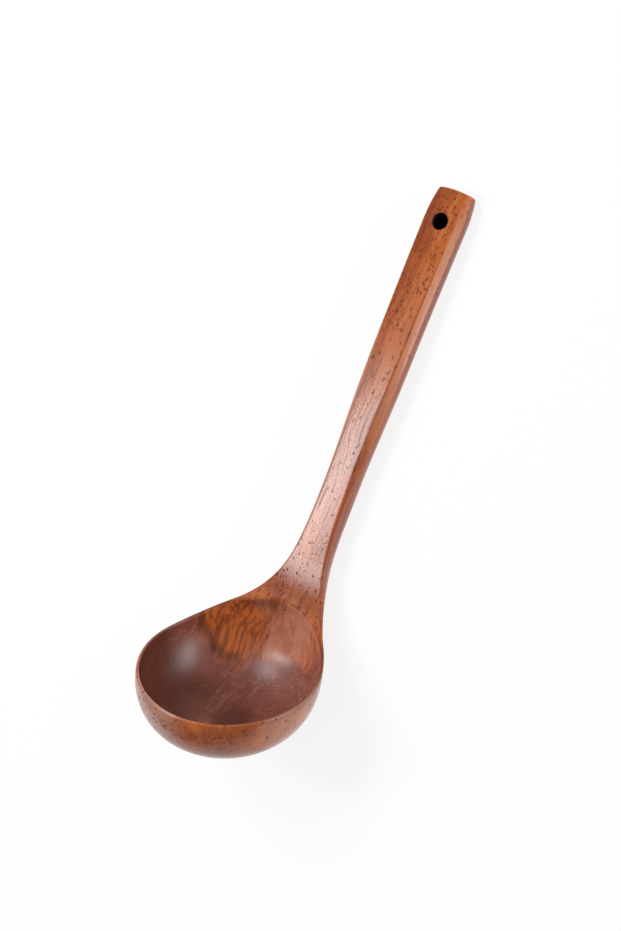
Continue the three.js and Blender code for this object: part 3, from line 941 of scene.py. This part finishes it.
class Patterns:
    """Sums, masks and patterns made of nodes in one tree"""

    def __init__(self, tree):
        self.tree = tree

    def node(self, kind, inputs, **settings):
        """Node whose inputs are linked to sockets or set to plain values"""
        node = self.tree.nodes.new(kind)
        for name, value in settings.items():
            setattr(node, name, value)
        for key, value in inputs.items():
            if isinstance(value, bpy.types.NodeSocket):
                self.tree.links.new(value, node.inputs[key])
            else:
                node.inputs[key].default_value = value
        return node

    def reckon(self, operation, first, second=0.0):
        """Result of a sum on one or two values"""
        return self.node("ShaderNodeMath", {0: first, 1: second}, operation=operation).outputs["Value"]

    def times(self, first, *others):
        """Product of values"""
        for other in others:
            first = self.reckon('MULTIPLY', first, other)
        return first

    def plus(self, first, *others):
        """Sum of values"""
        for other in others:
            first = self.reckon('ADD', first, other)
        return first

    def most(self, first, second):
        """Greater of two values"""
        return self.reckon('MAXIMUM', first, second)

    def rest(self, value):
        """What a share leaves of the whole"""
        return self.reckon('SUBTRACT', 1.0, value)

    def vectors(self, operation, first, second):
        """Results of a sum on two vectors"""
        return self.node("ShaderNodeVectorMath", {0: first, 1: second}, operation=operation).outputs

    def mask(self, value, outside, inside):
        """0 where a value is on the outside, 1 on the inside, with a soft step between"""
        limits = {
            "From Min": min(outside, inside), "From Max": max(outside, inside),
            "To Min": float(outside > inside), "To Max": float(inside > outside),
        }
        return self.node("ShaderNodeMapRange", {"Value": value, **limits},
                         interpolation_type='SMOOTHSTEP').outputs["Result"]

    def noise(self, vector, along, across, detail=2.0):
        """Noise drawn out along X, with its cells per metre along and across the grain"""
        cells = self.node("ShaderNodeMapping", {"Vector": vector, "Scale": (along, across, across)})
        inputs = {"Vector": cells.outputs["Vector"], "Scale": 1.0, "Detail": detail}
        return self.node("ShaderNodeTexNoise", inputs).outputs["Fac"]

    def wandering(self, vector, cells, reach):
        """Coordinates that wander by a noise"""
        noise = self.node("ShaderNodeTexNoise", {"Vector": vector, "Scale": cells, "Detail": 1.0})
        centred = self.vectors('SUBTRACT', noise.outputs["Color"], NOISE_MIDDLE)["Vector"]
        moved = self.vectors('MULTIPLY', centred, reach)["Vector"]
        return self.vectors('ADD', vector, moved)["Vector"]

    def mixed(self, factor, base, top):
        """Colour that goes from the base to the top by a factor"""
        inputs = {0: factor, 6: opaque(base), 7: opaque(top)}
        return self.node("ShaderNodeMix", inputs, data_type='RGBA').outputs[2]

    def ramp(self, factor, positions, tones):
        """Colour ramp through tones at their positions"""
        ramp = self.node("ShaderNodeValToRGB", {"Fac": factor})
        elements = ramp.color_ramp.elements
        while len(elements) < len(positions):
            elements.new(1.0)
        for element, position, tone in zip(elements, positions, tones):
            element.position = position
            element.color = opaque(tone)
        return ramp.outputs["Color"]


class WoodPatterns(Patterns):
    """Patterns that know the lying ladle's rim and hollow, and the tint laid over the wood so far"""

    def __init__(self, tree, carving):
        super().__init__(tree)
        lying = carving.lying()
        self.coords = self.node("ShaderNodeTexCoord", {}).outputs["Object"]
        self.level = self.node("ShaderNodeMapping", {
            "Vector": self.coords, "Location": lying.translation, "Rotation": lying.to_euler(),
        }, vector_type='TEXTURE').outputs["Vector"]
        self.place = self.split(self.coords)
        self.from_rim = self.split(self.level)
        self.facing = self.split(self.node("ShaderNodeNewGeometry", {}).outputs["Normal"])
        self.hollow = self.hollow_mask(carving)
        self.solid = self.rest(self.hollow)
        self.grain = self.wandering(self.coords, *GRAIN_WANDER)
        self.tint = None

    def split(self, vector):
        """The three parts of a vector"""
        return self.node("ShaderNodeSeparateXYZ", {"Vector": vector}).outputs

    def hollow_mask(self, carving):
        """1 on the wall of the hollow and 0 elsewhere"""
        bowl = carving.bowl
        place = self.from_rim
        ahead = self.reckon('SUBTRACT', place["X"], self.times(place["Z"], carving.lean))
        squares = self.plus(self.reckon('POWER', ahead, 2.0), self.reckon('POWER', place["Y"], 2.0))
        above = self.reckon('DIVIDE', self.most(place["Z"], 0.0), bowl.hollow_rise)
        above = self.reckon('MINIMUM', above, HOLLOW_TOP)
        wide = self.reckon('SQRT', self.rest(self.reckon('POWER', above, 2.0)))
        wide = self.times(wide, bowl.rim_radius - bowl.rim_wall)
        across = self.reckon('DIVIDE', self.reckon('SQRT', squares), wide)
        below = self.most(self.reckon('DIVIDE', place["Z"], bowl.floor_wall - bowl.depth), 0.0)
        full = self.reckon('POWER', across, bowl.fullness)
        return self.mask(self.plus(full, self.reckon('POWER', below, bowl.fullness)), *HOLLOW_EDGE)

    def between(self, length, start, full):
        """Mask of a length, given in millimetres"""
        return self.mask(length, start * MM, full * MM)

    def past(self, span):
        """Mask along an axis of the lying ladle"""
        axis, start, full = span
        return self.between(self.place[axis], start, full)

    def past_rim(self, span):
        """Mask along an axis of the level rim"""
        axis, start, full = span
        return self.between(self.from_rim[axis], start, full)

    def near(self, patch):
        """Mask round the middle of a patch"""
        middle, faded, full = patch
        away = self.vectors('DISTANCE', self.coords, Vector(middle) * MM)["Value"]
        return self.between(away, faded, full)

    def along(self, zone):
        """Strength of a mark along the ladle"""
        first, last = zone[0][0], zone[-1][0]
        limits = {"From Min": first * MM, "From Max": last * MM}
        reached = self.node("ShaderNodeMapRange", {"Value": self.place["X"], **limits}).outputs["Result"]
        positions = [(place - first) / (last - first) for place, _ in zone]
        return self.ramp(reached, positions, [(strength,) * 3 for _, strength in zone])

    def marks(self, vector, pattern):
        """Marks where a drawn-out noise is strong"""
        *cells, start, full = pattern
        return self.mask(self.noise(vector, *cells), start, full)

    def flecks(self, vector, cells, chance):
        """Short flecks in the cells of a drawn-out pattern, of which a share is kept"""
        vector = self.node("ShaderNodeMapping", {"Vector": vector, "Scale": cells}).outputs["Vector"]
        found = self.node("ShaderNodeTexVoronoi", {"Vector": vector, "Scale": 1.0}).outputs
        drawn = self.node("ShaderNodeSeparateColor", {"Color": found["Color"]}).outputs["Red"]
        kept = self.reckon('LESS_THAN', drawn, chance)
        return self.times(self.mask(found["Distance"], *FLECK_EDGE), kept)

    def lay(self, tint, *shares):
        """Lays a tint over the wood, as strongly as the product of the shares"""
        self.tint = self.mixed(self.times(*shares), self.tint, tint)


def lay_grain(wood, finish):
    """Growth bands, streaks and fibres, redder at the left of the tip"""
    fibres = wood.noise(wood.grain, *FIBRES)
    bands = wood.times(wood.noise(wood.grain, *BANDS), BAND_SHARE)
    streaks = wood.times(wood.noise(wood.grain, *STREAKS), STREAK_SHARE)
    tone = wood.plus(bands, streaks, wood.times(fibres, FIBRE_SHARE))
    wood.tint = wood.ramp(tone, GRAIN_TONES, (finish.dark_wood, finish.red_wood, finish.pale_wood))
    wood.lay(finish.dark_wood, wood.past(TIP_LEFT), wood.past(TIP_END), REDDER)
    return tone, fibres


def lay_hollow(wood, finish, tone):
    """Paler wood in the hollow, and palest at its rear, where pale wood carries a painted soft
    reflection
    """
    paler = wood.ramp(tone, HOLLOW_TONES, (finish.dark_wood, finish.red_wood, finish.tan_wood))
    wood.lay(paler, wood.hollow, PALER)
    # Pale rear wood with a painted soft reflection
    wood.lay(finish.tan_wood, wood.near(REAR_PALE_AND_SHEEN_PATCH), wood.hollow, PALEST_AND_SHEEN)


def lay_handle_lines(wood, finish):
    """Long grey-brown lines on the middle of the handle"""
    lines = wood.times(wood.marks(wood.grain, LINE_PATTERN), wood.along(LINE_ZONE))
    wood.lay(finish.streak, lines)
    return lines


def lay_flames(wood, finish, tone):
    """Flamed amber wood at the rear of the hollow"""
    flamed = wood.times(wood.near(FLAMED_PATCH), wood.hollow)
    flames = wood.times(wood.marks(wood.grain, FLAME_PATTERN), FLAME_SHARE)
    amber = wood.ramp(tone, AMBER_TONES, (finish.dark_wood, finish.amber_wood))
    wood.lay(wood.mixed(flames, amber, finish.fleck), flamed, AMBER_SHARE)
    return flamed


def heart_depth(wood):
    """How far into the slanting layer of heartwood a place lies, with a ragged border"""
    slant = wood.reckon('SUBTRACT', wood.times(wood.place["Z"], HEART_SLANT), wood.place["X"])
    to_right = wood.times(wood.reckon('MINIMUM', wood.place["Y"], 0.0), HEART_RIGHT)
    bulge = wood.times(wood.near(HEART_BULGE), HEART_BULGE_RISE)
    far_left = wood.times(wood.past(HEART_FAR_LEFT), HEART_LEFT_FALL)
    ragged = wood.times(wood.noise(wood.grain, *RAGGED), RAGGED_REACH)
    return wood.plus(slant, to_right, bulge, far_left, ragged)


def scraped_heart(wood, finish):
    """Heartwood with the paler marks of the scraper, in two directions"""
    crossed = wood.node("ShaderNodeMapping", {"Vector": wood.level, "Rotation": SCRAPER_TURN})
    rings = wood.times(wood.marks(crossed.outputs["Vector"], RING_PATTERN), RING_SHARE)
    scraped = wood.most(wood.marks(wood.level, RAY_PATTERN), rings)
    scraped = wood.times(scraped, SCRAPED_SHARE, wood.marks(wood.level, SCRAPED_PATCHES))
    return wood.mixed(wood.plus(scraped, SCRAPED_LEAST), finish.heart_wood, finish.tan_wood)


def lay_heartwood(wood, finish, flamed):
    """Purple-brown heartwood in the hollow, darkest at its sides, the left wall's darkening partly
    painted shade, with a dark border by the flames
    """
    depth = heart_depth(wood)
    # Darker heartwood at the sides; on the left wall it is partly painted shade
    left = wood.times(wood.past(DEEP_LEFT), DEEP_LEFT_DARK_AND_SHADE_SHARE)
    right = wood.times(wood.past(DEEP_RIGHT), DEEP_RIGHT_SHARE)
    deep = wood.times(wood.between(depth, *HEART_DEEP), wood.most(left, right))
    heart = wood.times(wood.between(depth, *HEART_EDGE), wood.past(HEART_SIDE), wood.hollow)
    strength = wood.plus(wood.times(deep, HEART_GAIN), HEART_SHARE)
    wood.lay(wood.mixed(deep, scraped_heart(wood, finish), finish.fleck), heart, strength)
    border = wood.times(wood.between(depth, *BORDER_START), wood.between(depth, *BORDER_END))
    wood.lay(finish.fleck, border, flamed, BORDER_SHARE)


def lay_painted_shading(wood, finish):
    """Painted reflection under the rear lip's right; painted shade under its left, at the hollow's
    bottom and on the rim
    """
    lip = wood.times(wood.past_rim(LIP), wood.hollow)
    # Painted reflection under the right of the rear lip
    wood.lay(finish.tan_wood, lip, wood.past(LIP_RIGHT), LIP_PAINTED_REFLECTION)
    # Painted shade under the left of the rear lip and at the hollow's bottom
    left_lip_shade = wood.times(lip, wood.past(LIP_LEFT), LIP_PAINTED_SHADE)
    bottom_shade = wood.times(wood.near(BOTTOM_SHADE_PATCH), BOTTOM_PAINTED_SHADE)
    inside = wood.times(wood.most(left_lip_shade, bottom_shade), wood.hollow)
    # Painted shade on the rim's crown at the left and rear
    sides = wood.times(wood.past_rim(CROWN_FRONT), wood.past_rim(CROWN_REAR))
    crown = wood.times(wood.past_rim(CROWN), wood.solid, sides, CROWN_PAINTED_SHADE)
    # The painted shade is laid in the flecks' dark colour
    wood.lay(finish.fleck, wood.plus(inside, crown))


def lay_outside(wood, finish):
    """Dull outside, a burnt patch, painted light at the front left and right, and stain and painted
    shade on the shoulder
    """
    outside = wood.times(wood.solid, wood.past(BOWL_OUTSIDE))
    dulled = wood.plus(wood.times(wood.marks(wood.grain, DULL_PATTERN), DULL_SHARE), DULL_LEAST)
    wood.lay(finish.outer_wood, outside, dulled)
    # Painted light at the front left and painted reflection of the floor at the right
    front_left_light = wood.times(wood.near(FRONT_LEFT_LIGHT_PATCH), outside, FRONT_LEFT_LIGHT_SHARE)
    right_floor_reflection = wood.times(wood.past(RIGHT_FLOOR_REFLECTION), outside, RIGHT_FLOOR_REFLECTION_SHARE)
    wood.lay(finish.outside_light_wood, wood.most(front_left_light, right_floor_reflection))
    wood.lay(finish.dark_wood, wood.near(BURNT_PATCH), outside, BURNT_SHARE)
    # Shoulder darkened, partly as stain and partly as painted shade where the sheen fades
    wood.lay(finish.outer_wood, wood.along(SHOULDER_STAIN_AND_SHADE_ZONE), wood.solid)


def lay_flecks(wood, finish):
    """Short dark flecks, thick near the tip and in a row under the rim's front, thin elsewhere"""
    chance = wood.times(wood.along(FLECK_ZONE), wood.rest(wood.times(wood.hollow, HOLLOW_FEWER)))
    row = wood.times(wood.past_rim(ROW_TOP), wood.past_rim(ROW_FOOT), wood.past_rim(ROW_FRONT))
    row = wood.times(row, ROW_CHANCE, wood.solid)
    spread = wood.flecks(wood.wandering(wood.coords, *FLECK_CURL), FLECK_CELLS, chance)
    in_row = wood.flecks(wood.wandering(wood.level, *ROW_CURL), ROW_CELLS, row)
    flecks = wood.most(spread, in_row)
    wood.lay(finish.fleck, flecks, FLECK_SHARE)
    return flecks


def lay_handle_edges(wood, finish):
    """Painted shade on the handle's sides, a painted reflection and painted shade along its right edge,
    and painted light on its left edge
    """
    # Painted shade on the sides, picked out by which way they face
    side_shade = wood.mask(wood.reckon('ABSOLUTE', wood.facing["Y"]), *SIDE_FACING)
    wood.lay(finish.painted_side_shade_wood, side_shade, wood.past(HANDLE_SIDES), wood.along(SIDE_SHADE_ZONE))
    upward = wood.mask(wood.facing["Z"], *UP_FACING)
    # Painted reflection of the bright surroundings on the right edge's facets
    right_edge = wood.mask(wood.facing["Y"], *RIGHT_EDGE_FACING)
    right_facets = wood.times(right_edge, wood.mask(wood.facing["Y"], *RIGHT_SIDE_FACING), upward)
    wood.lay(finish.painted_edge_light_wood, right_facets, wood.along(RIGHT_EDGE_LIGHT_ZONE))
    # Painted shade on the same right facets, lower down the handle
    wood.lay(finish.dark_wood, right_facets, wood.along(RIGHT_EDGE_SHADE_ZONE))
    # Painted light on the left edge, which otherwise turns dark away from the key
    left_facets = wood.times(wood.mask(wood.facing["Y"], *LEFT_EDGE_FACING), upward)
    wood.lay(finish.painted_edge_light_wood, left_facets, wood.along(LEFT_EDGE_LIGHT_ZONE))


def lay_bore_shade(wood, carving):
    """Painted shade on the wall and mouths of the hanging hole"""
    axis = carving.lying().to_3x3() @ carving.out(carving.hole_along)
    middle = carving.lying() @ carving.top_point(carving.hole_along)
    from_middle = wood.vectors('SUBTRACT', wood.coords, middle)["Vector"]
    spoke = wood.vectors('CROSS_PRODUCT', from_middle, axis)["Vector"]
    away = wood.node("ShaderNodeVectorMath", {0: spoke}, operation='LENGTH').outputs["Value"]
    radius = carving.handle.hole_diameter / 2
    mouth = carving.handle.hole_round
    bored = wood.mask(away, radius + 2 * mouth, radius + mouth / 2)
    # Painted shade in the bore
    wood.lay(BLACK, bored, BORE_SHADE)
    return bored


def lay_lacquer(wood, shader, finish, pores, bored):
    """Lacquer, thin over the pores and in the bore, and dull by the shoulder, tip and hollow's front"""
    dull = wood.times(wood.along(DULL_ZONE), wood.mask(wood.facing["Y"], *DULL_FACING))
    front = wood.times(wood.past(HOLLOW_FRONT), wood.hollow, FRONT_DULL)
    thin = wood.most(wood.times(pores, PORE_THIN), bored)
    lost = wood.reckon('MINIMUM', wood.plus(thin, wood.plus(dull, front)), finish.coat)
    wood.tree.links.new(wood.reckon('SUBTRACT', finish.coat, lost), shader.inputs["Coat Weight"])
    shader.inputs["Coat Roughness"].default_value = finish.coat_roughness


def lacquered_wood(carving, finish):
    """Red-brown wood with its grain along X, under lacquer"""
    found = bpy.data.materials.get("lacquered_wood")
    if found:
        return found
    material, shader = new_material("lacquered_wood")
    wood = WoodPatterns(material.node_tree, carving)
    tone, fibres = lay_grain(wood, finish)
    lay_hollow(wood, finish, tone)
    lines = lay_handle_lines(wood, finish)
    flamed = lay_flames(wood, finish, tone)
    lay_heartwood(wood, finish, flamed)
    lay_painted_shading(wood, finish)
    lay_outside(wood, finish)
    flecks = lay_flecks(wood, finish)
    lay_handle_edges(wood, finish)
    bored = lay_bore_shade(wood, carving)
    relief = wood.reckon('SUBTRACT', fibres, flecks)
    pressed = {"Strength": GRAIN_STRENGTH, "Distance": finish.grain_depth, "Height": relief}
    bump = wood.node("ShaderNodeBump", pressed)
    wood.tree.links.new(bump.outputs["Normal"], shader.inputs["Normal"])
    wood.tree.links.new(wood.tint, shader.inputs["Base Color"])
    shader.inputs["Roughness"].default_value = finish.roughness
    shader.inputs["Specular IOR Level"].default_value = finish.wood_gloss
    lay_lacquer(wood, shader, finish, wood.most(lines, flecks), bored)
    return material


def lacquered_hollow(carving, finish):
    """The same wood under the duller lacquer of the hollow"""
    material = lacquered_wood(carving, finish).copy()
    material.name = "lacquered_hollow"
    shader = next(node for node in material.node_tree.nodes if node.type == 'BSDF_PRINCIPLED')
    shader.inputs["Coat Roughness"].default_value = finish.hollow_roughness
    return material


def bare_dowel_wood(finish):
    """Pale bare wood of the dowels"""
    found = bpy.data.materials.get("bare_dowel_wood")
    if found:
        return found
    material, shader = new_material("bare_dowel_wood")
    wood = Patterns(material.node_tree)
    coords = wood.node("ShaderNodeTexCoord", {}).outputs["Object"]
    shaded = [part * DOWEL_SHADE for part in finish.dowel]
    tint = wood.mixed(wood.noise(coords, *DOWEL_FIBRES), shaded, finish.dowel)
    wood.tree.links.new(tint, shader.inputs["Base Color"])
    shader.inputs["Roughness"].default_value = DOWEL_ROUGHNESS
    return material


# Stage

def floor_material(carving, studio):
    """Pale floor that looks white to the camera, keeps a soft shadow and has a painted shadow under the
    hole
    """
    material, shader = new_material("pale_floor")
    floor = Patterns(material.node_tree)
    shader.inputs["Roughness"].default_value = FLOOR_ROUGHNESS
    shader.inputs["Specular IOR Level"].default_value = 0.0
    along = carving.hole_along
    mouth = carving.lying() @ (carving.top_point(along) - carving.out(along) * carving.handle.thickness)
    coords = floor.node("ShaderNodeTexCoord", {}).outputs["Object"]
    away = floor.vectors('DISTANCE', coords, (mouth.x, mouth.y, 0.0))["Value"]
    radius = carving.handle.hole_diameter / 2
    # Painted shadow: black floor under the hole, fading out past its rim
    clear = floor.mask(away, radius + HOLE_SHADE, radius + 2 * HOLE_SHADE)
    floor.tree.links.new(floor.mixed(clear, BLACK, studio.floor), shader.inputs["Base Color"])
    path = floor.node("ShaderNodeLightPath", {}).outputs
    seen = floor.most(floor.times(path["Is Camera Ray"], FLOOR_GLOW), path["Is Glossy Ray"])
    glow = floor.node("ShaderNodeEmission", {"Color": opaque(WHITE)}).outputs["Emission"]
    mix = {"Fac": floor.times(seen, clear), 1: shader.outputs["BSDF"], 2: glow}
    mixed = floor.node("ShaderNodeMixShader", mix).outputs["Shader"]
    output = next(node for node in floor.tree.nodes if node.type == 'OUTPUT_MATERIAL')
    floor.tree.links.new(mixed, output.inputs["Surface"])
    return material


def white_world(studio):
    """Even light from all round, seen as plain white"""
    world = bpy.data.worlds.new("white_studio")
    bpy.context.scene.world = world
    world.use_nodes = True
    sky = Patterns(world.node_tree)
    sky.tree.nodes.clear()
    path = sky.node("ShaderNodeLightPath", {}).outputs
    lit = sky.node("ShaderNodeMapRange", {
        "Value": path["Is Glossy Ray"], "To Min": studio.sky, "To Max": studio.sky_gloss,
    }).outputs["Result"]
    clear = sky.most(path["Is Camera Ray"], path["Is Transmission Ray"])
    shining = {"Color": opaque(WHITE), "Strength": sky.most(lit, clear)}
    background = sky.node("ShaderNodeBackground", shining)
    sky.node("ShaderNodeOutputWorld", {"Surface": background.outputs["Background"]})


def softbox(name, direction, wide, high, power):
    """Soft rectangular light that shines at the middle of the frame"""
    light = bpy.data.lights.new(name, 'AREA')
    light.shape = 'RECTANGLE'
    light.size = wide
    light.size_y = high
    light.energy = power
    light.color = SOFTBOX_COLOUR
    lamp = linked_object(name, light)
    way = Vector(direction).normalized()
    turn = way.to_track_quat('Z', 'Y').to_matrix().to_4x4()
    lamp.matrix_world = Matrix.Translation(way * SOFTBOX_DISTANCE) @ turn


def photo_camera(carving, studio):
    """Camera that looks at the rim from its bearing and elevation"""
    bearing, rise = studio.bearing, studio.elevation
    flat = math.cos(rise)
    towards = Vector((-math.cos(bearing) * flat, -math.sin(bearing) * flat, math.sin(rise)))
    level = Vector((math.sin(bearing), -math.cos(bearing), 0.0))
    upright = towards.cross(level)
    right = level * math.cos(studio.roll) + upright * math.sin(studio.roll)
    up = towards.cross(right)
    place = towards * studio.distance + right * studio.aside + up * studio.above
    axes = Matrix((right, up, towards)).transposed().to_4x4()
    lens = bpy.data.cameras.new("photo_camera")
    lens.sensor_width = SENSOR_LONG_SIDE
    lens.lens = studio.focal_pixels / IMAGE_HEIGHT * SENSOR_LONG_SIDE
    camera = linked_object("photo_camera", lens)
    camera.matrix_world = carving.lying() @ Matrix.Translation(place) @ axes
    bpy.context.scene.camera = camera


# Operators

class LADLE_OT_carve_bowl(bpy.types.Operator):
    """Carve the bowl with its rim and shoulder, up to the joint at the neck"""
    bl_idname = "ladle.carve_bowl"
    bl_label = "Carve Bowl"

    def execute(self, context):
        carving = Carving(context.scene)
        piece = with_dowel_bores(cut_at_neck(carving, "carved_bowl", True), carving)
        finish = context.scene.ladle_finish
        woods = (lacquered_wood(carving, finish), lacquered_hollow(carving, finish))
        finish_piece(piece, woods, "bowl")
        return {'FINISHED'}


class LADLE_OT_carve_handle(bpy.types.Operator):
    """Carve the handle with its rounded tip and hanging hole, down to the joint at the neck"""
    bl_idname = "ladle.carve_handle"
    bl_label = "Carve Handle"

    def execute(self, context):
        carving = Carving(context.scene)
        piece = with_dowel_bores(cut_at_neck(carving, "carved_handle", False), carving)
        woods = (lacquered_wood(carving, context.scene.ladle_finish),)
        finish_piece(piece, woods, "handle")
        return {'FINISHED'}


class LADLE_OT_turn_dowels(bpy.types.Operator):
    """Turn the two fluted dowels that are glued into the neck"""
    bl_idname = "ladle.turn_dowels"
    bl_label = "Turn Dowels"

    def execute(self, context):
        carving = Carving(context.scene)
        material = bare_dowel_wood(context.scene.ladle_finish)
        for side, place in zip(("left", "right"), dowel_places(carving)):
            piece = fluted_dowel(f"fluted_dowel_{side}", carving.joint, place)
            finish_piece(piece, (material,), f"neck_dowel_{side}")
        return {'FINISHED'}


class LADLE_OT_set_stage(bpy.types.Operator):
    """Set the floor, the lights, the white surroundings and the camera"""
    bl_idname = "ladle.set_stage"
    bl_label = "Set Stage"

    def execute(self, context):
        scene = context.scene
        studio = scene.ladle_studio
        carving = Carving(scene)
        bm = bmesh.new()
        bmesh.ops.create_grid(bm, x_segments=1, y_segments=1, size=FLOOR_REACH)
        floor = mesh_object("floor", bm)
        floor.data.materials.append(floor_material(carving, studio))
        white_world(studio)
        for name, direction, wide, high in SOFTBOXES:
            softbox(f"{name}_softbox", direction, wide, high, getattr(studio, f"{name}_power"))
        photo_camera(carving, studio)
        scene.view_settings.view_transform = 'Standard'
        return {'FINISHED'}


class LADLE_PT_workbench(bpy.types.Panel):
    """Sizes and steps of the ladle"""
    bl_idname = "LADLE_PT_workbench"
    bl_label = "Wooden Ladle"
    bl_space_type = 'VIEW_3D'
    bl_region_type = 'UI'
    bl_category = "Ladle"

    def draw(self, context):
        layout = self.layout
        for step in STEPS:
            layout.operator(step.bl_idname)
        for group, place in GROUPS.items():
            column = layout.column(align=True)
            column.label(text=group.__doc__)
            settings = getattr(context.scene, place)
            for name in group.__annotations__:
                column.prop(settings, name)


GROUPS = {
    LadleBowlSizes: "ladle_bowl",
    LadleHandleSizes: "ladle_handle",
    LadleJointSizes: "ladle_joint",
    LadleFinish: "ladle_finish",
    LadleStudio: "ladle_studio",
}
STEPS = (LADLE_OT_carve_bowl, LADLE_OT_carve_handle, LADLE_OT_turn_dowels, LADLE_OT_set_stage)


def register():
    """Makes the sizes, steps and panel known to Blender"""
    for group, name in GROUPS.items():
        bpy.utils.register_class(group)
        setattr(bpy.types.Scene, name, PointerProperty(type=group))
    for step in (*STEPS, LADLE_PT_workbench):
        bpy.utils.register_class(step)


def unregister():
    """Takes the panel, steps and sizes away again"""
    for step in (LADLE_PT_workbench, *reversed(STEPS)):
        bpy.utils.unregister_class(step)
    for group, name in GROUPS.items():
        delattr(bpy.types.Scene, name)
        bpy.utils.unregister_class(group)


def main():
    """Builds the ladle and its stage"""
    register()
    bpy.ops.ladle.carve_bowl()
    bpy.ops.ladle.carve_handle()
    bpy.ops.ladle.turn_dowels()
    bpy.ops.ladle.set_stage()


if __name__ == "__main__":
    main()
